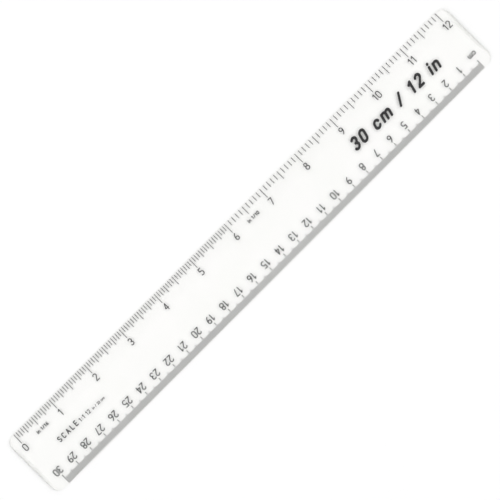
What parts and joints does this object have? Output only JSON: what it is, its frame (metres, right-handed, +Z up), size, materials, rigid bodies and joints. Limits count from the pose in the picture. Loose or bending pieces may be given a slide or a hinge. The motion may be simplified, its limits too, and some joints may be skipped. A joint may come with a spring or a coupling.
{
  "type": "straight ruler",
  "caption": "Clear plastic straight ruler with two bevelled edges, printed with an inch scale along one edge and a centimetre scale along the other.",
  "frame": {"origin": "middle of the flat underside", "axes": "+X along the blade from 0 in to 12 in, +Y towards the inch edge, +Z up out of the printed face"},
  "size_m": [0.316, 0.038, 0.0025],
  "materials": {
    "clear_plastic": "clear, polished",
    "scale_ink": "thin printed ink",
    "legend_ink": "heavy printed ink"
  },
  "bodies": {
    "root": {"blade": "clear_plastic", "inch_sixteenths": "scale_ink", "inch_tenths": "scale_ink", "inch_numerals": "scale_ink", "inch_unit_labels": "scale_ink", "millimetre_ticks": "scale_ink", "half_centimetre_ticks": "scale_ink", "centimetre_ticks": "scale_ink", "centimetre_numerals": "scale_ink", "centimetre_label": "scale_ink", "length_legend": "legend_ink", "scale_note": "legend_ink"}
  },
  "joints": []
}
